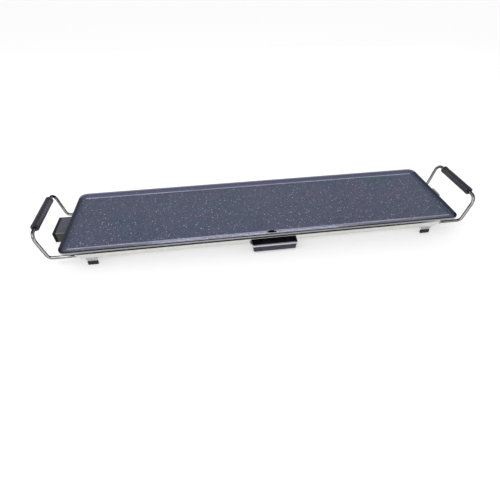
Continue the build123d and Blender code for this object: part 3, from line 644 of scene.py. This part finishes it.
finishes = {
    "coating": makeCoating(),
    "chrome": makeChrome(),
    "rail": makeMetal("brightSteel", (0.76, 0.755, 0.72, 1), (0.70, 0.70, 0.67, 1), (0.20, 0.30)),
    "zinc": makeMetal("zincSheet", (0.44, 0.45, 0.46, 1), (0.56, 0.56, 0.56, 1), (0.32, 0.46),
                      stretch=0.5, scale=700.0),
    "screw": makeMetal("zincScrew", (0.50, 0.50, 0.49, 1), (0.60, 0.60, 0.58, 1), (0.26, 0.38),
                       stretch=1.0),
    "nickel": makeMetal("nickelPin", (0.66, 0.63, 0.56, 1), (0.72, 0.70, 0.64, 1), (0.18, 0.26),
                        stretch=1.0, bump=0.05),
    "element": makeMetal("elementTube", (0.16, 0.15, 0.15, 1), (0.24, 0.20, 0.17, 1), (0.42, 0.58),
                         stretch=1.0, scale=600.0),
    "tab": makeMetal("paleSheet", (0.66, 0.66, 0.68, 1), (0.74, 0.74, 0.76, 1), (0.40, 0.52),
                     stretch=0.5, metallic=0.35),
    "rim": makeRim(),
    "aluminium": makeMetal("millSheet", (0.55, 0.55, 0.56, 1), (0.63, 0.63, 0.63, 1), (0.30, 0.42)),
    "hood": makeHood(),
    "grip": makeMoulded("mouldedGrip", (0.020, 0.019, 0.032, 1), (0.028, 0.026, 0.042, 1), (0.46, 0.60)),
    "drawer": makeMoulded("glossyDrawer", (0.046, 0.043, 0.064, 1), (0.060, 0.056, 0.080, 1),
                          (0.22, 0.34), bump=0.08, gloss=0.25),
    "rubber": makeMoulded("footRubber", (0.016, 0.016, 0.016, 1), (0.024, 0.024, 0.023, 1), (0.60, 0.78)),
    "ceramic": makeMoulded("whiteCeramic", (0.62, 0.60, 0.55, 1), (0.70, 0.68, 0.63, 1), (0.45, 0.60)),
}
print("materials ready")


# Modelling helpers

def roundedFace(bm, length, width, radius, z, steps, centre=(0.0, 0.0)):
    # flat face with round corners
    x, y = length / 2, width / 2
    corners = [(-x, -y), (x, -y), (x, y), (-x, y)]
    face = bm.faces.new([bm.verts.new((a + centre[0], b + centre[1], z)) for a, b in corners])
    made = bmesh.ops.bevel(bm, geom=list(face.verts), offset=radius, segments=steps, profile=0.5,
                           affect="VERTICES", material=-1)
    return made["verts"][0].link_faces[0]


def roundedLoop(bm, length, width, radius, z, steps, centre=(0.0, 0.0)):
    # the corners of such a face in order, without the face
    face = roundedFace(bm, length, width, radius, z, steps, centre)
    verts = list(face.verts)
    bmesh.ops.delete(bm, geom=[face], context="FACES_ONLY")
    return verts


def joinLoops(bm, loops, closed=False):
    # walls between outlines, corner to corner, because bridging them twisted some faces
    pairs = list(zip(loops, loops[1:])) + ([(loops[-1], loops[0])] if closed else [])
    for lower, upper in pairs:
        for corners in zip(lower, lower[1:] + lower[:1], upper[1:] + upper[:1], upper):
            bm.faces.new(corners)
    if not closed:
        bm.faces.new(loops[0])
        bm.faces.new(loops[-1])


def extrudeFace(bm, face, move):
    made = bmesh.ops.extrude_face_region(bm, geom=[face])["geom"]
    verts = [item for item in made if isinstance(item, bmesh.types.BMVert)]
    bmesh.ops.translate(bm, verts=verts, vec=move)
    bmesh.ops.delete(bm, geom=[face], context="FACES_ONLY")
    return [item for item in made if isinstance(item, bmesh.types.BMFace)][0]


def spinFace(bm, face, centre, axis, angle, steps):
    made = bmesh.ops.spin(bm, geom=[face], cent=centre, axis=axis, angle=angle, steps=steps,
                          use_duplicate=False)["geom_last"]
    bmesh.ops.delete(bm, geom=[face], context="FACES_ONLY")
    return [item for item in made if isinstance(item, bmesh.types.BMFace)][0]


def sweepRoute(bm, start, points, radii, steps):
    # start is a face across the first run; the bends are arcs of the given radii
    points = [Vector(p) for p in points]
    bmesh.ops.duplicate(bm, geom=[start])
    here, face = points[0], start
    for i, radius in enumerate(radii, 1):
        before = (points[i] - points[i - 1]).normalized()
        after = (points[i + 1] - points[i]).normalized()
        angle = before.angle(after)
        reach = radius * tan(angle / 2)
        bend = points[i] - before * reach
        face = extrudeFace(bm, face, bend - here)
        axis = before.cross(after).normalized()
        face = spinFace(bm, face, bend + axis.cross(before) * radius, axis, angle, steps)
        here = points[i] + after * reach
    return extrudeFace(bm, face, points[-1] - here)


def ringFace(bm, radius, sides, place, direction):
    turn = Vector(direction).to_track_quat("Z", "Y").to_matrix().to_4x4()
    made = bmesh.ops.create_circle(bm, cap_ends=True, radius=radius, segments=sides,
                                   matrix=Matrix.Translation(place) @ turn)
    return made["verts"][0].link_faces[0]


def addDrum(bm, radius, low, high, x, y, sides=28, edge=0.0):
    # upright cylinder with a bevelled lower rim
    middle = Matrix.Translation((x, y, (low + high) / 2))
    made = bmesh.ops.create_cone(bm, cap_ends=True, segments=sides, radius1=radius, radius2=radius,
                                 depth=high - low, matrix=middle)["verts"]
    if edge:
        rim = {e for v in made if v.co.z < (low + high) / 2 for e in v.link_edges
               if all(w.co.z < (low + high) / 2 for w in e.verts)}
        bmesh.ops.bevel(bm, geom=list(rim), offset=edge, segments=2, profile=0.5, affect="EDGES",
                        material=-1)


def finishPiece(bm, name, body, finish, replaced, sharp=smoothAngle):
    bmesh.ops.remove_doubles(bm, verts=bm.verts, dist=mergeDistance)
    bmesh.ops.recalc_face_normals(bm, faces=bm.faces)
    for face in bm.faces:
        face.smooth = True
    for edge in bm.edges:
        edge.smooth = edge.calc_face_angle(0) < sharp
    mesh = bpy.data.meshes.new(name)
    bm.to_mesh(mesh)
    bm.free()
    mesh.materials.append(finishes[finish])
    piece = bpy.data.objects.new(name, mesh)
    bpy.context.scene.collection.objects.link(piece)
    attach(piece, body)
    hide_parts(*replaced)
    return piece


# Cooking plate

elementSize = {
    "tube": 4 * mm, "runOuter": 72 * mm, "runInner": 26 * mm, "turnRight": 421 * mm,
    "turnLeft": 356 * mm, "turnRadius": 20 * mm, "leadX": 412 * mm, "leadY": 14 * mm,
    "leadRadius": 12 * mm, "leadEnd": 436 * mm, "height": 51 * mm, "leadHeight": 41 * mm,
    "ribWidth": 15.2 * mm, "ribBottom": 50 * mm, "ribRunIn": 2 * mm, "sides": 20, "bendSteps": 10,
}
bossSize = {
    "post": {"radius": 8 * mm, "low": 45 * mm, "xs": (-398 * mm, 398 * mm), "ys": (-49 * mm, 49 * mm)},
    "strap": {"radius": 6 * mm, "low": 46.9 * mm, "xs": (-239.85 * mm, 19.8 * mm, 279.9 * mm),
              "ys": (-49 * mm, 49 * mm)},
    "hood": {"radius": 5 * mm, "low": 54 * mm, "xs": (-424.5 * mm,), "ys": (-20 * mm, 20 * mm)},
    "tab": {"radius": 5 * mm, "low": 54 * mm, "xs": (418.5 * mm,), "ys": (-8 * mm, 8 * mm)},
}
probeSize = {"x": -386 * mm, "z": 41 * mm, "length": 40 * mm, "width": 15 * mm, "low": 34 * mm,
             "bore": 4.5 * mm, "sides": 32}


def elementPoints(height, leadHeight):
    size = elementSize
    half = [(-size["leadEnd"], -size["leadY"], leadHeight), (-size["leadX"], -size["leadY"], leadHeight),
            (-size["leadX"], -size["runOuter"], height), (size["turnRight"], -size["runOuter"], height),
            (size["turnRight"], -size["runInner"], height), (-size["turnLeft"], -size["runInner"], height)]
    return half + [(x, -y, z) for x, y, z in reversed(half)]


def buildPlate():
    size = plateSize
    bm = bmesh.new()

    def ring(inset, radius, z):
        return roundedLoop(bm, size["length"] - 2 * inset, size["width"] - 2 * inset, radius, z,
                           size["cornerSteps"])

    floorInset = size["crest"] + size["border"]
    joinLoops(bm, [
        ring(floorInset + size["dishDraft"], size["floorCorner"], size["floorUnder"]),
        ring(size["dishInset"], size["corner"] - size["dishInset"], size["rimBottom"]),
        ring(0, size["corner"], size["rimBottom"]),
        ring(0, size["corner"], size["rimTop"]),
        ring(size["crest"], size["corner"] - size["crest"], size["rimTop"]),
        ring(floorInset, size["floorCorner"], size["floorTop"]),
    ])
    bmesh.ops.recalc_face_normals(bm, faces=bm.faces)

    def bends(level, angle):
        return [e for e in bm.edges if all(abs(v.co.z - level) < mergeDistance for v in e.verts)
                and e.calc_face_angle(0) > angle]

    bmesh.ops.bevel(bm, geom=bends(size["rimTop"], size["rimBend"]), offset=size["rimRound"],
                    segments=size["rimSteps"], profile=0.5, affect="EDGES", material=-1)
    bmesh.ops.bevel(bm, geom=bends(size["floorTop"], size["foldBend"]), offset=size["foldWidth"],
                    segments=size["foldSteps"], profile=0.5, affect="EDGES", material=-1)
    return bm


def cutPiece(piece, bm):
    # takes a closed form out of a piece
    bmesh.ops.remove_doubles(bm, verts=bm.verts, dist=mergeDistance)
    bmesh.ops.recalc_face_normals(bm, faces=bm.faces)
    mesh = bpy.data.meshes.new("cutter")
    bm.to_mesh(mesh)
    bm.free()
    cutter = bpy.data.objects.new("cutter", mesh)
    bpy.context.scene.collection.objects.link(cutter)
    cut = piece.modifiers.new("cut", "BOOLEAN")
    cut.operation = "DIFFERENCE"
    cut.solver = "EXACT"
    cut.object = cutter
    graph = bpy.context.evaluated_depsgraph_get()
    result = bpy.data.meshes.new_from_object(piece.evaluated_get(graph))
    piece.modifiers.clear()
    piece.data = result
    bpy.data.objects.remove(cutter)


def drainOutline(bm, make, grow, z):
    # the drain hole's outline as a face or a loop, wider by the spout's wall where asked
    size = drainSize
    length, width = size["length"] + 2 * grow, size["width"] + 2 * grow
    return make(bm, length, width, width * size["endShare"], z, size["cornerSteps"], (size["x"], size["y"]))


def cutDrain(plate):
    bm = bmesh.new()
    face = drainOutline(bm, roundedFace, 0.0, drainSize["cutBottom"])
    made = bmesh.ops.extrude_face_region(bm, geom=[face])["geom"]
    verts = [item for item in made if isinstance(item, bmesh.types.BMVert)]
    bmesh.ops.translate(bm, verts=verts, vec=(0, 0, drainSize["cutHeight"]))
    cutPiece(plate, bm)


def addSpout(bm):
    low, high, wall = drainSize["bottom"], drainSize["top"], drainSize["wall"]
    section = ((0.0, high), (0.0, low), (wall, low), (wall, high))
    joinLoops(bm, [drainOutline(bm, roundedLoop, grow, z) for grow, z in section], closed=True)


def addRibs(bm):
    size = elementSize
    points = elementPoints((size["ribBottom"] + plateSize["floorUnder"]) / 2, 0)[3:9]
    level = points[0][2]
    startX = -size["leadX"] + size["turnRadius"] + size["ribRunIn"]
    route = [(startX, -size["runOuter"], level)] + points + [(startX, size["runOuter"], level)]
    height = plateSize["floorUnder"] - size["ribBottom"]
    halfWidth, halfHeight = size["ribWidth"] / 2, height / 2
    corners = [(-halfWidth, -halfHeight), (-halfWidth, halfHeight), (halfWidth, halfHeight),
               (halfWidth, -halfHeight)]
    start = bm.faces.new([bm.verts.new((startX, route[0][1] + a, level + b)) for a, b in corners])
    sweepRoute(bm, start, route, [size["turnRadius"]] * 6, size["bendSteps"])


def makePlate():
    plate = finishPiece(buildPlate(), "cookingPlate", "plate_unit", "coating", ["grill_plate"])
    cutDrain(plate)
    makeUnderside()
    print("plate done")


def makeUnderside():
    # spout, ribs and bosses under the plate, and the bore for the probe
    bm = bmesh.new()
    addSpout(bm)
    addRibs(bm)
    high = plateSize["floorUnder"] + plateSize["bossOverlap"]
    for kind in bossSize.values():
        for x in kind["xs"]:
            for y in kind["ys"]:
                addDrum(bm, kind["radius"], kind["low"], high, x, y, edge=plateSize["bossEdge"])
    size = probeSize
    place = Matrix.Translation((size["x"], 0, (size["low"] + high) / 2))
    bmesh.ops.create_cube(bm, size=1, matrix=place @ Matrix.Diagonal(
        (size["length"], size["width"], high - size["low"], 1)))
    underside = finishPiece(bm, "plateUnderside", "plate_unit", "coating", ["grill_plate"])
    bm = bmesh.new()
    turn = Matrix.Translation((size["x"], 0, size["z"])) @ Matrix.Rotation(pi / 2, 4, "Y")
    bmesh.ops.create_cone(bm, cap_ends=True, segments=size["sides"], radius1=size["bore"],
                          radius2=size["bore"], depth=2 * size["length"], matrix=turn)
    cutPiece(underside, bm)


def makeElement():
    size = elementSize
    points = elementPoints(size["height"], size["leadHeight"])
    radii = [size["leadRadius"]] + [size["turnRadius"]] * 4
    bm = bmesh.new()
    start = ringFace(bm, size["tube"], size["sides"], points[0], (1, 0, 0))
    sweepRoute(bm, start, points, radii + radii[::-1], size["bendSteps"])
    finishPiece(bm, "heatingElement", "plate_unit", "element", ["heating_element"])
    print("element done")


# Handles

rodSize = {
    "radius": 3.5 * mm, "y": 82.3 * mm, "low": 26 * mm, "high": 90.4 * mm, "bendX": 486.6 * mm,
    "handleX": 499.6 * mm, "bendLow": 10 * mm, "bendHigh": 18 * mm, "startX": 421 * mm,
    "tongueX": 409 * mm, "tongueLength": 22 * mm, "tongueY": 81.2 * mm, "tongueZ": 20.4 * mm,
    "tongueWidth": 9 * mm, "tongueThickness": 2.4 * mm, "sides": 28, "bendSteps": 12,
}
gripSize = {
    "length": 109 * mm, "radius": 8.7 * mm, "neck": 8.15 * mm, "groove": 0.3 * mm, "collar": 8 * mm,
    "ridges": 10, "bore": 3.6 * mm, "sides": 48, "round": 1.1 * mm, "crown": 0.24 * mm,
    "roundSteps": 3, "rimBend": radians(60), "smoothAngle": radians(50),
    "ridgeShares": (0.10, 0.22, 0.88),     # where a ridge's groove ends, its top starts and its top ends
}


def flattenEnd(bm, face, side):
    # pressed end of the rod, inside the rail
    size = rodSize
    centre = Vector((size["startX"], side * size["y"], size["low"]))
    tongue = Vector((size["tongueX"], side * size["tongueY"], size["tongueZ"]))
    blended = extrudeFace(bm, face, tongue - centre)
    place = Matrix.Translation(tongue)
    wide = size["tongueWidth"] / (2 * size["radius"])
    thin = size["tongueThickness"] / (2 * size["radius"])
    bmesh.ops.scale(bm, vec=(1, wide, thin), space=place.inverted(), verts=list(blended.verts))
    extrudeFace(bm, blended, Vector((-size["tongueLength"], 0, 0)))


def makeRod(name, side, node):
    size = rodSize
    bm = bmesh.new()
    points = [(size["startX"], -size["y"], size["low"]), (size["bendX"], -size["y"], size["low"]),
              (size["handleX"], -size["y"], size["high"]), (size["handleX"], size["y"], size["high"]),
              (size["bendX"], size["y"], size["low"]), (size["startX"], size["y"], size["low"])]
    radii = [size["bendLow"], size["bendHigh"], size["bendHigh"], size["bendLow"]]
    start = ringFace(bm, size["radius"], size["sides"], points[0], (1, 0, 0))
    last = sweepRoute(bm, start, points, radii, size["bendSteps"])
    first = [f for f in bm.faces if len(f.verts) == size["sides"] and f != last
             and abs(f.calc_center_median().y + size["y"]) < mm]
    flattenEnd(bm, last, 1)
    flattenEnd(bm, first[0], -1)
    if side < 0:
        bmesh.ops.scale(bm, vec=(-1, 1, 1), verts=bm.verts)
    finishPiece(bm, name, "stand", "chrome", [node])


def makeGrip(name, side, node):
    size = gripSize
    half = size["length"] / 2
    span = (size["length"] - 2 * size["collar"]) / size["ridges"]
    grooveEnd, topStart, topEnd = size["ridgeShares"]
    ridge = size["neck"] + size["groove"]
    outline = [(half, size["bore"]), (half, size["radius"]), (half - size["collar"], size["radius"])]
    for i in range(size["ridges"]):
        start = half - size["collar"] - i * span
        crown = size["crown"] * sin(pi * (i + 0.5) / size["ridges"])
        outline += [(start - grooveEnd * span, size["neck"] + crown),
                    (start - topStart * span, ridge + crown), (start - topEnd * span, ridge + crown)]
    outline += [(size["collar"] - half, size["neck"]), (size["collar"] - half, size["radius"]),
                (-half, size["radius"]), (-half, size["bore"])]
    bm = bmesh.new()
    centre = (side * rodSize["handleX"], 0, rodSize["high"])
    verts = [bm.verts.new((centre[0] + r, y, centre[2])) for y, r in outline]
    edges = [bm.edges.new(pair) for pair in zip(verts, verts[1:] + verts[:1])]
    bmesh.ops.spin(bm, geom=verts + edges, cent=centre, axis=(0, 1, 0), angle=2 * pi, steps=size["sides"],
                   use_merge=True, use_duplicate=False)
    bmesh.ops.recalc_face_normals(bm, faces=bm.faces)
    rims = [e for e in bm.edges if e.calc_face_angle(0) > size["rimBend"]
            and all((v.co - Vector((centre[0], v.co.y, centre[2]))).length > size["neck"] for v in e.verts)]
    bmesh.ops.bevel(bm, geom=rims, offset=size["round"], segments=size["roundSteps"], profile=0.5,
                    affect="EDGES", material=-1, clamp_overlap=True)
    finishPiece(bm, name, "stand", "grip", [node], sharp=size["smoothAngle"])


# Drip drawer

drawerSize = {
    "x": 17 * mm, "width": 105 * mm, "front": 107 * mm, "back": 12 * mm, "low": 6.6 * mm,
    "high": 26.6 * mm, "wall": 1.6 * mm, "draft": 2 * mm, "corner": 6 * mm, "rimDepth": 5 * mm,
    "rimHeight": 4 * mm, "overhang": 1.4 * mm, "rimRound": 1.5 * mm, "lipRound": 0.5 * mm,
    "cornerSteps": 6, "lipSteps": 3, "rimSteps": 4, "lipBend": radians(40),
}


def makeDrawer():
    size = drawerSize
    centre = (size["x"], -(size["front"] + size["back"]) / 2)
    depth = size["front"] - size["back"]
    bm = bmesh.new()

    def level(inset, z):
        return roundedLoop(bm, size["width"] - 2 * inset, depth - 2 * inset, size["corner"] - inset, z,
                           size["cornerSteps"], centre)

    low, high, wall, draft = size["low"], size["high"], size["wall"], size["draft"]
    joinLoops(bm, [level(draft, low), level(0, high), level(wall, high), level(draft + wall, low + wall)])
    edges = [e for e in bm.edges if e.calc_face_angle(0) > size["lipBend"]]
    bmesh.ops.bevel(bm, geom=edges, offset=size["lipRound"], segments=size["lipSteps"], profile=0.5,
                    affect="EDGES", material=-1)
    finishPiece(bm, "dripDrawer", "drawer", "drawer", ["drip_drawer"])
    bm = bmesh.new()
    place = Matrix.Translation((size["x"], size["rimDepth"] / 2 - size["front"] - size["overhang"],
                                high - size["rimHeight"] / 2))
    bmesh.ops.create_cube(bm, size=1, matrix=place @ Matrix.Diagonal(
        (size["width"], size["rimDepth"], size["rimHeight"], 1)))
    bmesh.ops.bevel(bm, geom=bm.edges[:], offset=size["rimRound"], segments=size["rimSteps"],
                    profile=0.5, affect="EDGES", material=-1)
    finishPiece(bm, "drawerRim", "drawer", "rim", ["drip_drawer"])
    print("drawer done")


# Nodes that keep their own shape: finish, and width of their rounded edges in millimetres

nodeFinishes = {
    "element_straps": ("zinc", 0.2), "strap_screws": ("screw", 0), "probe_sleeve": ("nickel", 0),
    "socket_hood": ("hood", 0.4), "terminal_plate": ("zinc", 0.15), "hood_screws": ("screw", 0),
    "terminal_pins": ("nickel", 0), "terminal_beads": ("ceramic", 0), "earth_blades": ("nickel", 0.15),
    "lifting_tab": ("tab", 0.3), "tab_screws": ("screw", 0), "locating_studs": ("screw", 0),
    "front_rail": ("rail", 0.2), "rear_rail": ("rail", 0.2),
    "right_leg_brace": ("zinc", 0.2), "left_leg_brace": ("zinc", 0.2),
    "foot_cap_front_right": ("rubber", 0.3), "foot_cap_front_left": ("rubber", 0.3),
    "foot_cap_rear_right": ("rubber", 0.3), "foot_cap_rear_left": ("rubber", 0.3),
    "plate_posts": ("ceramic", 0.3), "post_screws": ("screw", 0), "frame_screws": ("screw", 0),
    "frame_nuts": ("screw", 0), "heat_shield": ("aluminium", 0), "shield_rivets": ("aluminium", 0),
    "drawer_runner_left": ("zinc", 0.15), "drawer_runner_right": ("zinc", 0.15),
    "runner_rivets": ("aluminium", 0),
}
sheetEdge = {"steps": 2, "bend": radians(50), "flat": radians(0.6)}


def finishNode(name, finish, edge):
    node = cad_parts[name]
    node.data.materials.clear()
    node.data.materials.append(finishes[finish])
    weld = node.modifiers.new("weld", "WELD")
    weld.merge_threshold = mergeDistance
    flat = node.modifiers.new("flat", "DECIMATE")
    flat.decimate_type = "DISSOLVE"
    flat.angle_limit = sheetEdge["flat"]
    if edge:
        bevel = node.modifiers.new("edge", "BEVEL")
        bevel.width = edge * mm
        bevel.segments = sheetEdge["steps"]
        bevel.limit_method = "ANGLE"
        bevel.angle_limit = sheetEdge["bend"]
    smooth = node.modifiers.new("smooth", "NODES")
    smooth.node_group = smoothByAngle


bpy.context.scene.view_settings.view_transform = "Standard"
makeCamera()
makeWorld()
makeFloor()
makeAreaLight("keyLight", studio["keyPlace"], studio["keySize"], studio["keyPower"])
makeAreaLight("backLight", studio["backPlace"], studio["backSize"], studio["backPower"],
              studio["backColour"])
print("studio ready")

makePlate()
makeElement()
for side, word in ((-1, "left"), (1, "right")):
    makeRod(word + "HandleRod", side, word + "_handle_rod")
    makeGrip(word + "HandleGrip", side, word + "_grip")
print("handles done")
makeDrawer()
for name, (finish, edge) in nodeFinishes.items():
    finishNode(name, finish, edge)
print("carried-over nodes finished")
